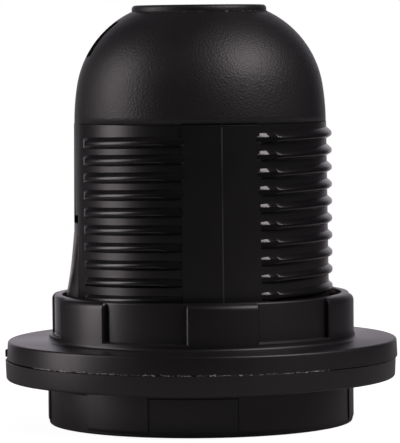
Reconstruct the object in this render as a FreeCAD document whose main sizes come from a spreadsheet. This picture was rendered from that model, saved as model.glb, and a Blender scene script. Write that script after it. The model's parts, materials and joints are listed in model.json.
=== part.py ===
"""E27 lamp holder: threaded barrel, latched domed cap, two shade rings and the contact insert.

Millimetres, +Z up. The origin is on the barrel axis at the level of the lamp mouth, the lamp is
screwed in from below, and the cable enters at the top. -X carries the long ring stop.
"""
import FreeCAD, Part
import math
import os
import re
import Sketcher
from FreeCAD import Vector

SIZES = {
    # barrel
    "seam_height": 44.1, "barrel_top_radius": 18.5, "barrel_foot_radius": 18.9, "barrel_wall": 1.9,
    "sleeve_bore_radius": 14.3, "sleeve_wall": 1.5, "groove_depth": 20.0, "web_thickness": 1.4,
    "web_lift": 1.0, "ledge_height": 24.0, "cavity_radius": 16.6, "thread_turns": 16.25,
    # outside thread, cut back to a smooth front, back and sides
    "thread_pitch": 2.5, "thread_crest_radius": 19.2, "thread_crest_width": 0.62,
    "thread_upper_flank": 0.52, "thread_lower_flank": 0.3, "thread_phase": 2.455,
    "thread_root": 0.4, "thread_overcut": 0.3, "thread_side_limit": 18.05, "thread_band": 5.6,
    "relief_lift": 0.1, "relief_root_angle": 17.5, "relief_crest_angle": 28.0,
    # domed cap and its two latch arms; a rise is a height above the seam
    "skirt_arc": 34.2, "skirt_angle": 9.35, "shoulder_arc": 14.44, "cap_wall": 2.0,
    "cap_rise": 17.2, "rim_radius": 9.9, "rim_edge": 0.5, "entry_clearance_radius": 5.3,
    "boss_rise": 6.5, "arm_width": 4.4, "arm_thickness": 1.35, "arm_end": 30.7,
    "hook_reach": 1.2, "hook_width": 3.0, "hook_height": 1.9, "hook_drop": 0.2, "latch_gap": 0.1,
    "arm_channel_gap": 0.25, "notch_height": 1.1, "arm_rib_radius": 15.3, "arm_rib_width": 7.2,
    "arm_rib_top": 41.0,
    "slot_width": 2.6, "slot_rise": 9.7, "slot_height": 4.6, "slot_inset": 0.4,
    "finger_width": 5.0, "finger_thickness": 1.6, "finger_gap": 0.3, "finger_rise": 5.0,
    "register_height": 1.6, "register_gap": 0.1, "cap_screw_gap": 0.15,
    # stops under the latch notches
    "stop_width": 5.0, "stop_bottom": 18.6, "long_stop_top": 28.1, "long_stop_radius": 19.85,
    "long_stop_arc": 74.0, "long_stop_lift": 0.08, "short_stop_top": 20.8,
    "short_stop_radius": 19.75, "short_stop_lift": 0.1,
    # the two shade rings
    "ring_height": 9.45, "ring_gap": 0.1, "flange_radius": 28.6, "flange_thickness": 2.7,
    "joint_edge": 0.15, "flange_draft": 0.1, "flange_edge": 0.5, "collar_radius": 21.7, "lug_radius": 22.55,
    "lug_angle": 26.7, "ring_bore_radius": 19.4, "counterbore_radius": 20.6,
    "counterbore_depth": 5.85, "collar_edge": 1.0, "recess_step": 1.0, "lug_root_fillet": 0.45,
    "upper_ring_turn": -1.5, "lower_ring_turn": 17.75,
    # cable entry
    "entry_bore_radius": 4.5, "nut_flats": 14.0, "nut_rise": 14.3, "nut_height": 6.8,
    "nut_gap": 0.05, "lock_screw_radius": 1.5, "lock_screw_length": 5.4,
    "lock_screw_rise": 10.5, "lock_screw_setback": 0.5, "screw_gap": 0.05,
    # contact insert
    "block_radius": 16.3, "block_height": 6.0, "block_edge": 0.5, "key_depth": 0.8,
    "key_gap": 0.2, "barrier_height": 8.0, "barrier_thickness": 2.0, "barrier_length": 26.0,
    "shell_radius": 13.25, "shell_wall": 0.4, "shell_bottom": 3.0,
    "shell_thread_top": 19.0, "shell_neck_radius": 12.6, "shell_flange_radius": 9.2,
    "shell_rivet_circle": 10.9, "rivet_radius": 1.0,
    "rivet_head_radius": 1.6, "rivet_head_height": 0.5, "live_rivet_offset": 4.6,
    "strip_thickness": 0.4, "strip_width": 5.0, "foot_reach": 1.9, "contact_drop": 3.6,
    "button_radius": 1.8, "button_height": 0.7, "strap_thickness": 0.8, "strap_reach": 2.1,
    "strap_half_width": 2.4, "clamp_length": 6.0, "clamp_height": 7.0,
    "clamp_near": 2.6, "clamp_side": 5.5, "wire_hole_radius": 1.6, "wire_hole_height": 2.9,
    "terminal_screw_radius": 1.7, "terminal_head_radius": 2.8, "terminal_head_height": 1.6,
    "terminal_head_lift": 0.2, "screw_tip_gap": 0.2, "tap_runout": 0.3, "driver_slot": 0.7,
    # how far joined shapes sink into each other, and how far a cut passes the surface
    "weld": 0.3, "cut_spare": 1.0,
}

doc = FreeCAD.newDocument("lamp_holder")
sheet = doc.addObject("Spreadsheet::Sheet", "Sizes")
for row, (alias, number) in enumerate(SIZES.items(), 1):
    sheet.set(f"A{row}", alias)
    sheet.set(f"B{row}", str(number))
    sheet.setAlias(f"B{row}", alias)
doc.recompute()

ALIAS = re.compile(r"\b(" + "|".join(SIZES) + r")\b")


def bound(expression):
    """The expression with every size read from the sheet."""
    return ALIAS.sub(r"Sizes.\1", expression)


def value(expression):
    """What the expression is worth now."""
    found = sheet.evalExpression(bound(expression))
    return float(getattr(found, "Value", found))


def bind(thing, **settings):
    """Ties properties to expressions; a double underscore stands for a dot in a property path."""
    for path, expression in settings.items():
        thing.setExpression(path.replace("__", "."), bound(expression))


def new_body(name):
    """An empty body whose label names the sub-part."""
    made = doc.addObject("PartDesign::Body", name)
    made.Label = name
    return made


def sketch_on(body, plane, offset="0"):
    """An empty sketch on one of the body's own origin planes, moved along the plane's normal."""
    made = body.newObject("Sketcher::SketchObject", body.Name + "_sketch")
    support = next(f for f in body.Origin.OriginFeatures if f.Role == plane + "_Plane")
    made.AttachmentSupport = [(support, "")]
    made.MapMode = "FlatFace"
    bind(made, AttachmentOffset__Base__z=offset)
    return made


def outline(body, plane, points, arcs=None, offset="0"):
    """A closed sketch through points given as expression pairs.

    arcs maps the number of a side to the expression of its radius; a radius that starts with a
    minus sign makes that side bend clockwise.
    """
    sketch = sketch_on(body, plane, offset)
    arcs = arcs or {}
    places = [Vector(value(x), value(y), 0) for x, y in points]
    count = len(places)
    for i, start in enumerate(places):
        end = places[(i + 1) % count]
        if i in arcs:
            sketch.addGeometry(arc_between(start, end, value(arcs[i])))
        else:
            sketch.addGeometry(Part.LineSegment(start, end))
    starts = [start_vertex(arcs, i) for i in range(count)]
    for i in range(count):
        before = (i - 1) % count
        sketch.addConstraint(
            Sketcher.Constraint("Coincident", before, 3 - starts[before], i, starts[i])
        )
    for i, (x, y) in enumerate(points):
        for kind, text in (("DistanceX", x), ("DistanceY", y)):
            at = value(text)
            index = sketch.addConstraint(Sketcher.Constraint(kind, -1, 1, i, starts[i], at))
            sketch.setExpression(f"Constraints[{index}]", bound(text))
    for i, text in arcs.items():
        size = text.lstrip("-")
        index = sketch.addConstraint(Sketcher.Constraint("Radius", i, value(size)))
        sketch.setExpression(f"Constraints[{index}]", bound(size))
    return sketch


def start_vertex(arcs, side):
    """Which end of a side is its start: a clockwise arc is stored from its far end."""
    return 2 if arcs.get(side, "").startswith("-") else 1


def arc_between(start, end, radius):
    """A sketch arc from start to end; a negative radius bends clockwise."""
    chord = end - start
    half = chord.Length / 2
    rise = math.sqrt(max(radius * radius - half * half, 0.0))
    left = Vector(-chord.y, chord.x, 0).normalize()
    centre = start + chord * 0.5 + left * (rise if radius > 0 else -rise)
    first, last = (start, end) if radius > 0 else (end, start)
    angles = [math.atan2(p.y - centre.y, p.x - centre.x) for p in (first, last)]
    circle = Part.Circle(centre, Vector(0, 0, 1), abs(radius))
    return Part.ArcOfCircle(circle, angles[0], angles[1])


def circle_sketch(body, plane, x, y, radius, offset="0"):
    """A sketch with one circle."""
    sketch = sketch_on(body, plane, offset)
    middle = Vector(value(x), value(y), 0)
    sketch.addGeometry(Part.Circle(middle, Vector(0, 0, 1), value(radius)))
    for kind, text in (("DistanceX", x), ("DistanceY", y)):
        index = sketch.addConstraint(Sketcher.Constraint(kind, -1, 1, 0, 3, value(text)))
        sketch.setExpression(f"Constraints[{index}]", bound(text))
    index = sketch.addConstraint(Sketcher.Constraint("Radius", 0, value(radius)))
    sketch.setExpression(f"Constraints[{index}]", bound(radius))
    return sketch


def rectangle(body, plane, x0, x1, y0, y1, offset="0"):
    """A rectangular sketch."""
    corners = [(x0, y0), (x1, y0), (x1, y1), (x0, y1)]
    return outline(body, plane, corners, offset=offset)


def feature(body, kind, sketch, **settings):
    """A sketch-based feature of a body, with its sizes bound."""
    made = body.newObject("PartDesign::" + kind, body.Name + "_" + kind.lower())
    made.Profile = (sketch, [""])
    bind(made, **settings)
    doc.recompute()
    body.Tip = made
    return made


def pad(body, sketch, length):
    """Material along the sketch's normal."""
    return feature(body, "Pad", sketch, Length=length)


def pocket(body, sketch, length, reverse=False):
    """A cut against the sketch's normal, or along it when reversed."""
    before = body.Shape.Volume
    made = feature(body, "Pocket", sketch, Length=length)
    made.Reversed = reverse
    doc.recompute()
    if body.Shape.Volume > before - 1e-3:
        raise RuntimeError(f"a pocket of {body.Label} removes nothing")
    return made


def revolve(body, sketch):
    """A full turn about the sketch's vertical axis."""
    made = body.newObject("PartDesign::Revolution", body.Name + "_revolution")
    made.Profile = (sketch, [""])
    made.ReferenceAxis = (sketch, ["V_Axis"])
    made.Angle = 360
    doc.recompute()
    body.Tip = made
    return made


def around(body, originals, count):
    """Repeats features evenly about the body's Z axis."""
    made = body.newObject("PartDesign::PolarPattern", body.Name + "_pattern")
    made.Originals = originals
    axis = next(f for f in body.Origin.OriginFeatures if f.Role == "Z_Axis")
    made.Axis = (axis, [""])
    made.Angle = 360
    made.Occurrences = count
    body.Tip = made
    doc.recompute()
    return made


def soften(body, chosen, radius):
    """Rounds the edges of the body that the test accepts."""
    base = body.Tip
    names = [f"Edge{i}" for i, edge in enumerate(base.Shape.Edges, 1) if chosen(edge)]
    if not names:
        raise RuntimeError(f"{body.Label} has no edge to soften")
    made = body.newObject("PartDesign::Fillet", body.Name + "_fillet")
    made.Base = (base, names)
    bind(made, Radius=radius)
    doc.recompute()
    body.Tip = made
    return made


def near(a, b, slack=0.02):
    """Whether two lengths agree."""
    return abs(a - b) < slack


def ring_edge(edge, radius, height):
    """Whether an edge is an arc about the Z axis of this radius at this height."""
    curve = edge.Curve
    return (
        curve.TypeId == "Part::GeomCircle"
        and near(curve.Radius, radius)
        and near(curve.Center.z, height)
        and math.hypot(curve.Center.x, curve.Center.y) < 0.02
    )


def polar(radius, angle):
    """Expressions of a point at this radius and angle in degrees."""
    return f"({radius}) * cos({angle})", f"({radius}) * sin({angle})"


def arm_band(inner, outer, width, side):
    """Corners and arcs of a strip of a tube wall with parallel sides, across the X axis."""
    half = f"{width} / 2"

    def at(radius, sign):
        return f"{side} * sqrt(({radius})^2 - ({half})^2)", f"{sign} * {side} * {half}"

    corners = [at(inner, "-1"), at(outer, "-1"), at(outer, "1"), at(inner, "1")]
    return corners, {1: outer, 3: "-" + inner}


# Heights and radii that several pieces share.
ARM_INNER = "(barrel_top_radius - arm_thickness)"
HOOK_LOW = "(arm_end + hook_drop)"
WINDOW_TOP = f"({HOOK_LOW} + hook_height + latch_gap)"
NOTCH_BOTTOM = "(arm_end - notch_height)"
BLOCK_TOP = "(ledge_height + block_height)"
CAP_TOP = "(seam_height + cap_rise)"
BOSS_BOTTOM = "(seam_height + boss_rise)"
NUT_TOP = "(seam_height + nut_rise)"
NUT_BOTTOM = f"({NUT_TOP} - nut_height)"
LOCK_SCREW_Z = "(seam_height + lock_screw_rise)"
SHELL_OUTER = "(shell_radius + shell_wall)"
CLAMP_TOP = f"({BLOCK_TOP} + clamp_height)"


def dome_point(inset, angle, arc):
    """A point of the dome's outline, set in by inset, on its skirt or shoulder arc."""
    x = f"(barrel_top_radius - skirt_arc + (skirt_arc - {inset}) * cos({angle}))"
    y = f"(seam_height + (skirt_arc - {inset}) * sin({angle}))"
    if arc == "skirt":
        return x, y
    centre_x, centre_y = SHOULDER_CENTRE
    reach = f"(shoulder_arc - {inset})"
    return f"({centre_x} + {reach} * cos({angle}))", f"({centre_y} + {reach} * sin({angle}))"


SHOULDER_CENTRE = (
    "(barrel_top_radius - skirt_arc + (skirt_arc - shoulder_arc) * cos(skirt_angle))",
    "(seam_height + (skirt_arc - shoulder_arc) * sin(skirt_angle))",
)


def shoulder_height(inset, radius):
    """Height of the shoulder arc, set in by inset, at a radius from the axis."""
    centre_x, centre_y = SHOULDER_CENTRE
    return f"({centre_y} + sqrt((shoulder_arc - {inset})^2 - ({radius} - {centre_x})^2))"


def make_dome_cap():
    """The domed cap: shell, entry boss, two latch arms with hooks, and hold-down fingers."""
    body = new_body("dome_cap")
    skirt_top = dome_point("cap_wall", "skirt_angle", "skirt")
    register_outer = "(cavity_radius - register_gap)"
    register_low = "(seam_height - register_height)"
    points = [
        ("barrel_top_radius", "seam_height"),
        dome_point("0", "skirt_angle", "skirt"),
        ("rim_radius", shoulder_height("0", "rim_radius")),
        ("rim_radius", CAP_TOP),
        ("entry_clearance_radius", CAP_TOP),
        ("entry_clearance_radius", BOSS_BOTTOM),
        ("rim_radius", BOSS_BOTTOM),
        ("rim_radius", shoulder_height("cap_wall", "rim_radius")),
        skirt_top,
        (skirt_top[0], register_low),
        (register_outer, register_low),
        (register_outer, "seam_height"),
    ]
    arcs = {0: "skirt_arc", 1: "shoulder_arc", 7: "-(shoulder_arc - cap_wall)"}
    revolve(body, outline(body, "XZ", points, arcs))
    soften(body, lambda e: ring_edge(e, value("rim_radius"), value(CAP_TOP)), "rim_edge")
    corners = [polar("(nut_flats / 2 + nut_gap) / cos(30)", f"{60 * k}") for k in range(6)]
    pocket(body, outline(body, "XY", corners, offset=BOSS_BOTTOM),
           "nut_rise - boss_rise", reverse=True)
    for side in ("-1", "1"):
        corners, arcs = arm_band(ARM_INNER, "barrel_top_radius", "arm_width", side)
        pad(body, outline(body, "XY", corners, arcs, offset="arm_end"), "seam_height - arm_end")
        hook_inner = f"({ARM_INNER} - hook_reach)"
        corners, arcs = arm_band(hook_inner, f"({ARM_INNER} + latch_gap)", "hook_width", side)
        pad(body, outline(body, "XY", corners, arcs, offset=HOOK_LOW), "hook_height")
        slot = rectangle(body, "XY", f"{side} * (rim_radius + slot_inset)",
                         f"{side} * (barrel_top_radius + cut_spare)", "-slot_width / 2",
                         "slot_width / 2", "seam_height + slot_rise + slot_height")
        pocket(body, slot, "slot_height")
    finger_outer = "(cavity_radius - finger_gap)"
    finger_inner = f"({finger_outer} - finger_thickness)"
    half = f"asin(finger_width / 2 / {finger_outer})"
    corners = [
        polar(finger_inner, f"90 deg - {half}"), polar(finger_outer, f"90 deg - {half}"),
        polar(finger_outer, f"90 deg + {half}"), polar(finger_inner, f"90 deg + {half}"),
    ]
    fingers = outline(body, "XY", corners, {1: finger_outer, 3: "-" + finger_inner},
                      f"{BLOCK_TOP} + latch_gap")
    around(body, [pad(body, fingers, f"seam_height + finger_rise - {BLOCK_TOP}")], 2)
    hole = circle_sketch(body, "XZ", "0", LOCK_SCREW_Z, "lock_screw_radius + cap_screw_gap")
    pocket(body, hole, "rim_radius + cut_spare")
    return body


def make_thread_form():
    """The outside thread: a helical ridge, then kept only inside its relieved envelope."""
    ridge = new_body("thread_ridge")
    inner = "(barrel_top_radius - thread_root)"
    half = "thread_crest_width / 2"
    reach = "(thread_crest_radius + thread_overcut)"
    slope = "(thread_overcut / (thread_crest_radius - barrel_top_radius))"
    points = [
        (inner, f"thread_phase - {half} - thread_lower_flank"),
        ("barrel_top_radius", f"thread_phase - {half} - thread_lower_flank"),
        (reach, f"thread_phase - {half} + thread_lower_flank * {slope}"),
        (reach, f"thread_phase + {half} - thread_upper_flank * {slope}"),
        ("barrel_top_radius", f"thread_phase + {half} + thread_upper_flank"),
        (inner, f"thread_phase + {half} + thread_upper_flank"),
    ]
    sketch = outline(ridge, "XZ", points)
    helix = ridge.newObject("PartDesign::AdditiveHelix", "thread_ridge_helix")
    helix.Profile = (sketch, [""])
    helix.ReferenceAxis = (sketch, ["V_Axis"])
    helix.Mode = 0
    bind(helix, Pitch="thread_pitch", Height="thread_pitch * thread_turns")
    doc.recompute()
    ridge.Tip = helix
    crest = doc.addObject("Part::Cylinder", "thread_crest")
    bind(crest, Radius="thread_crest_radius", Height="seam_height")
    root = "(barrel_top_radius + relief_lift)"
    offset = (
        f"((thread_crest_radius^2 - {root}^2) / 2"
        f" / ({root} * cos(relief_root_angle) - thread_crest_radius * cos(relief_crest_angle)))"
    )
    relief_radius = f"sqrt({root}^2 + {offset}^2 + 2 * {root} * {offset} * cos(relief_root_angle))"
    reliefs = []
    for name, sign in (("front", ""), ("back", "-")):
        relief = doc.addObject("Part::Cylinder", f"thread_{name}_relief")
        bind(relief, Radius=relief_radius, Height="seam_height", Placement__Base__y=sign + offset)
        reliefs.append(relief)
    sides = doc.addObject("Part::Box", "thread_side_relief")
    bind(sides, Length="3 * thread_side_limit", Width="4 * thread_side_limit",
         Height="seam_height", Placement__Base__x="-thread_side_limit",
         Placement__Base__y="-2 * thread_side_limit")
    ring = doc.addObject("Part::MultiCommon", "thread_relieved")
    ring.Shapes = [ridge, crest, *reliefs, sides]
    band = doc.addObject("Part::Box", "thread_side_gap")
    bind(band, Length="4 * thread_side_limit", Width="thread_band", Height="seam_height",
         Placement__Base__x="-2 * thread_side_limit", Placement__Base__y="-thread_band / 2")
    thread = doc.addObject("Part::Cut", "thread_sectors")
    thread.Base = ring
    thread.Tool = band
    return thread


def make_barrel():
    """The barrel: outer wall, lamp sleeve, ledge, arm channels, latch windows, stops, thread."""
    core = new_body("barrel_core")
    sleeve_outer = "(sleeve_bore_radius + sleeve_wall)"
    wall_inner = "(barrel_foot_radius - barrel_wall)"
    points = [
        ("barrel_foot_radius", "0"), ("barrel_top_radius", "seam_height"),
        ("cavity_radius", "seam_height"), ("cavity_radius", "ledge_height"),
        ("sleeve_bore_radius", "ledge_height"), ("sleeve_bore_radius", "0"),
        (sleeve_outer, "0"), (sleeve_outer, "groove_depth"),
        (wall_inner, "groove_depth"), (wall_inner, "0"),
    ]
    revolve(core, outline(core, "XZ", points))
    web = rectangle(core, "XY", f"{sleeve_outer} - weld", f"{wall_inner} + weld",
                    "-web_thickness / 2", "web_thickness / 2", "web_lift")
    around(core, [pad(core, web, "groove_depth - web_lift + weld")], 8)
    for side in ("-1", "1"):
        corners, arcs = arm_band("arm_rib_radius", "(cavity_radius + weld)", "arm_rib_width", side)
        pad(core, outline(core, "XY", corners, arcs, offset="ledge_height - weld"),
            "arm_rib_top - ledge_height + weld")
        channel = rectangle(core, "XY", f"{side} * ({ARM_INNER} - arm_channel_gap)",
                            f"{side} * (barrel_foot_radius + cut_spare)", "-arm_width / 2 - latch_gap",
                            "arm_width / 2 + latch_gap", "seam_height")
        pocket(core, channel, f"seam_height - {NOTCH_BOTTOM}")
        window = rectangle(core, "XY", f"{side} * (arm_rib_radius - cut_spare)",
                           f"{side} * {ARM_INNER}", "-hook_width / 2 - latch_gap",
                           "hook_width / 2 + latch_gap", WINDOW_TOP)
        pocket(core, window, f"{WINDOW_TOP} - {NOTCH_BOTTOM}")
    sunk = "(barrel_top_radius - thread_root)"
    long_stop = [
        ("-(barrel_top_radius + long_stop_lift)", "long_stop_top"), ("-long_stop_radius", "stop_bottom"),
        (f"-{sunk}", "stop_bottom"), (f"-{sunk}", "long_stop_top"),
    ]
    short_stop = [
        ("barrel_top_radius + short_stop_lift", "short_stop_top"), (sunk, "short_stop_top"),
        (sunk, "stop_bottom"), ("short_stop_radius", "stop_bottom"),
    ]
    pad(core, outline(core, "XZ", long_stop, {0: "-long_stop_arc"}, "-stop_width / 2"),
        "stop_width")
    pad(core, outline(core, "XZ", short_stop, offset="-stop_width / 2"), "stop_width")
    barrel = doc.addObject("Part::MultiFuse", "barrel_threaded")
    barrel.Shapes = [core, make_thread_form()]
    barrel.Label = "barrel"
    return barrel


def make_ring(name, turn, height, flipped):
    """A shade ring: drafted flange, collar with six grip lugs, and a bore that clears the thread."""
    body = new_body(name)
    seat = "(ring_height - counterbore_depth)"
    points = [
        ("ring_bore_radius", "0"), ("flange_radius - joint_edge", "0"),
        ("flange_radius", "joint_edge"),
        ("flange_radius - flange_draft", "flange_thickness - flange_edge"),
        ("flange_radius - flange_draft - flange_edge", "flange_thickness"),
        ("lug_radius + lug_root_fillet", "flange_thickness"),
        ("lug_radius", "flange_thickness + lug_root_fillet"),
        ("lug_radius", "ring_height - collar_edge"),
        ("lug_radius - collar_edge", "ring_height"),
        ("counterbore_radius", "ring_height"), ("counterbore_radius", seat),
        ("ring_bore_radius", seat),
    ]
    rounds = {3: "flange_edge", 5: "-lug_root_fillet", 7: "collar_edge"}
    revolve(body, outline(body, "XZ", points, rounds))
    outer = "(lug_radius + cut_spare)"
    half = "(30 - lug_angle / 2)"
    corners = [
        polar("collar_radius", f"-{half}"), polar(outer, f"-{half}"),
        polar(outer, half), polar("collar_radius", half),
    ]
    recess = outline(body, "XY", corners, {1: outer, 3: "-collar_radius"}, "ring_height")
    around(body, [pocket(body, recess, "ring_height - flange_thickness - recess_step")], 6)
    body.Placement = FreeCAD.Placement(
        Vector(0, 0, 0),
        FreeCAD.Rotation(Vector(0, 0, 1), value(turn))
        * FreeCAD.Rotation(Vector(1, 0, 0), 180 if flipped else 0),
    )
    bind(body, Placement__Base__z=height)
    return body


def make_entry_nut():
    """The hexagonal M10 bush that takes the cable tube, with a tapped hole for its lock screw."""
    body = new_body("entry_nut")
    corners = [polar("nut_flats / 2 / cos(30)", f"{60 * k}") for k in range(6)]
    pad(body, outline(body, "XY", corners, offset=NUT_BOTTOM), "nut_height")
    pocket(body, circle_sketch(body, "XY", "0", "0", "entry_bore_radius", NUT_BOTTOM),
           "nut_height", reverse=True)
    hole = circle_sketch(body, "XZ", "0", LOCK_SCREW_Z, "lock_screw_radius + screw_gap")
    pocket(body, hole, "nut_flats")
    return body


def make_lock_screw():
    """The slotted grub screw that locks the cable tube in the bush; its tip stops at the bore."""
    body = new_body("entry_lock_screw")
    outer_end = "(entry_bore_radius + lock_screw_setback + lock_screw_length)"
    shank = circle_sketch(body, "XZ", "0", LOCK_SCREW_Z, "lock_screw_radius",
                          "-" + outer_end)
    pad(body, shank, "lock_screw_length")
    slot = rectangle(body, "XZ", "-lock_screw_radius * 2", "lock_screw_radius * 2",
                     f"{LOCK_SCREW_Z} - driver_slot / 2", f"{LOCK_SCREW_Z} + driver_slot / 2",
                     f"driver_slot * 1.5 - {outer_end}")
    pocket(body, slot, "driver_slot * 2")
    return body


def make_terminal_block():
    """The insulating block: base disc keyed to the barrel, barrier wall and rivet holes."""
    body = new_body("terminal_block")
    pad(body, circle_sketch(body, "XY", "0", "0", "block_radius", "ledge_height"), "block_height")
    for side in ("-1", "1"):
        key = rectangle(body, "XY", f"{side} * (arm_rib_radius - key_depth)", f"{side} * cavity_radius",
                        "-arm_rib_width / 2 - key_gap", "arm_rib_width / 2 + key_gap", BLOCK_TOP)
        pocket(body, key, "block_height")
    barrier = rectangle(body, "XY", "-barrier_length / 2", "barrier_length / 2",
                        "-barrier_thickness / 2", "barrier_thickness / 2", BLOCK_TOP)
    pad(body, barrier, "barrier_height")
    for x, y in [("0", "-live_rivet_offset"), *SHELL_RIVETS]:
        hole = circle_sketch(body, "XY", x, y, "rivet_radius + screw_gap", BLOCK_TOP)
        pocket(body, hole, "block_height")
    soften(body, lambda e: ring_edge(e, value("block_radius"), value(BLOCK_TOP)), "block_edge")
    return body


def make_screw_shell():
    """The lamp's screw shell: a thin tube with an inward flange riveted under the block."""
    body = new_body("screw_shell")
    under = "(ledge_height - shell_wall)"
    neck_outer = "(shell_neck_radius + shell_wall)"
    neck_height = "(shell_thread_top + shell_radius - shell_neck_radius)"
    points = [
        ("shell_radius", "shell_bottom"), (SHELL_OUTER, "shell_bottom"),
        (SHELL_OUTER, "shell_thread_top + shell_wall"),
        (neck_outer, f"{neck_height} + shell_wall"), (neck_outer, "ledge_height"),
        ("shell_flange_radius", "ledge_height"), ("shell_flange_radius", under),
        ("shell_neck_radius", under), ("shell_neck_radius", neck_height),
        ("shell_radius", "shell_thread_top"),
    ]
    revolve(body, outline(body, "XZ", points))
    for x, y in SHELL_RIVETS:
        hole = circle_sketch(body, "XY", x, y, "rivet_radius + screw_gap", "ledge_height")
        pocket(body, hole, "shell_wall")
    return body


def make_centre_contact():
    """The sprung centre contact: a bent strip riveted at its foot, flat where the lamp presses."""
    body = new_body("centre_contact")
    foot_low = "(ledge_height - strip_thickness)"
    low = f"({foot_low} - contact_drop)"
    foot_out = "-(live_rivet_offset + foot_reach)"
    foot_in = "-(live_rivet_offset - foot_reach)"
    flat = "(button_radius * 0.7)"
    curl = "contact_drop * 0.4"
    points = [
        (foot_out, foot_low), (foot_in, foot_low), (f"-{flat}", low), (flat, low),
        (f"{flat} + {curl} * 1.3", f"{low} + {curl}"),
        (f"{flat} + {curl} * 1.3 - strip_thickness * 0.6",
         f"{low} + {curl} + strip_thickness * 0.8"),
        (f"{flat} - strip_thickness * 0.3", f"{low} + strip_thickness"),
        (f"-{flat} + strip_thickness * 0.7", f"{low} + strip_thickness"),
        (f"{foot_in} + strip_thickness * 0.7", "ledge_height"), (foot_out, "ledge_height"),
    ]
    pad(body, outline(body, "YZ", points, offset="-strip_width / 2"), "strip_width")
    hole = circle_sketch(body, "XY", "0", "-live_rivet_offset", "rivet_radius + screw_gap",
                         "ledge_height")
    pocket(body, hole, "strip_thickness")
    return body


def make_contact_button():
    """The domed button under the centre contact that meets the lamp's end."""
    body = new_body("contact_button")
    top = "(ledge_height - strip_thickness - contact_drop)"
    points = [
        ("0", f"{top} - button_height"), ("button_radius * 0.6", f"{top} - button_height"),
        ("button_radius", f"{top} - button_height * 0.35"), ("button_radius", top), ("0", top),
    ]
    revolve(body, outline(body, "XZ", points))
    return body


def make_rivet(name, x, y, low, high):
    """A flat-headed rivet that clamps what lies between two heights."""
    body = new_body(name)
    points = [
        ("0", f"{low} - rivet_head_height"), ("rivet_head_radius", f"{low} - rivet_head_height"),
        ("rivet_head_radius", low), ("rivet_radius", low), ("rivet_radius", high),
        ("rivet_head_radius", high), ("rivet_head_radius", f"{high} + rivet_head_height"),
        ("0", f"{high} + rivet_head_height"),
    ]
    revolve(body, outline(body, "XZ", points))
    bind(body, Placement__Base__x=x, Placement__Base__y=y)
    return body


def make_terminal(name, rivet_at, turn):
    """A brass screw clamp with a strap to its rivet, turned about the axis to its side."""
    body = new_body(name)
    far_side = "(clamp_side + clamp_length)"
    clamp = rectangle(body, "XY", "clamp_near", "clamp_near + clamp_length", f"-{far_side}",
                      "-clamp_side", BLOCK_TOP)
    pad(body, clamp, "clamp_height")
    strap = rectangle(body, "XY", "-strap_half_width", "clamp_near + weld",
                      f"-({rivet_at} + strap_reach)", f"-({rivet_at} - strap_reach)", BLOCK_TOP)
    pad(body, strap, "strap_thickness")
    hole = circle_sketch(body, "XY", "0", f"-{rivet_at}", "rivet_radius + screw_gap",
                         f"{BLOCK_TOP} + strap_thickness")
    pocket(body, hole, "strap_thickness")
    wire = circle_sketch(body, "YZ", "-(clamp_side + clamp_length / 2)",
                         f"{BLOCK_TOP} + wire_hole_height", "wire_hole_radius",
                         "clamp_near - cut_spare")
    pocket(body, wire, "clamp_length + 2 * cut_spare", reverse=True)
    x, y = CLAMP_CENTRE
    tapped = circle_sketch(body, "XY", x, y, "terminal_screw_radius + screw_gap", CLAMP_TOP)
    pocket(body, tapped, "clamp_height - wire_hole_height + wire_hole_radius + tap_runout")
    body.Placement.Rotation = FreeCAD.Rotation(Vector(0, 0, 1), turn)
    return body


def make_terminal_screw(name, sign):
    """A slotted cheese-head terminal screw over its clamp."""
    body = new_body(name)
    tip = f"({BLOCK_TOP} + wire_hole_height - wire_hole_radius + screw_tip_gap)"
    seat = f"({CLAMP_TOP} + terminal_head_lift)"
    top = f"({seat} + terminal_head_height)"
    points = [
        ("0", tip), ("terminal_screw_radius", tip), ("terminal_screw_radius", seat),
        ("terminal_head_radius", seat), ("terminal_head_radius", top), ("0", top),
    ]
    revolve(body, outline(body, "XZ", points))
    slot = rectangle(body, "XY", "-2 * terminal_head_radius", "2 * terminal_head_radius",
                     "-driver_slot / 2", "driver_slot / 2", top)
    pocket(body, slot, "driver_slot")
    x, y = CLAMP_CENTRE
    bind(body, Placement__Base__x=f"{sign} * {x}", Placement__Base__y=f"{sign} * {y}")
    return body


CLAMP_CENTRE = ("(clamp_near + clamp_length / 2)", "(-(clamp_side + clamp_length / 2))")
SHELL_RIVETS = [polar("shell_rivet_circle", angle) for angle in ("90", "210", "342")]


def write_parts(parts):
    """Checks every object and every sub-part, then writes one STEP file a sub-part."""
    doc.recompute()
    failed = [o.Name for o in doc.Objects if {"Invalid", "Error"} & set(o.State)]
    if failed:
        raise RuntimeError(f"failed features: {failed}")
    for part in parts:
        if part.Shape.isNull() or not part.Shape.isValid():
            raise RuntimeError(f"{part.Label} has no valid shape")
    os.makedirs("parts", exist_ok=True)
    for part in parts:
        part.Shape.exportStep(f"parts/{part.Label}.step")
        print(f"{part.Label}: {len(part.Shape.Solids)} solid(s), {part.Shape.Volume:.1f} mm3")


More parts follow.
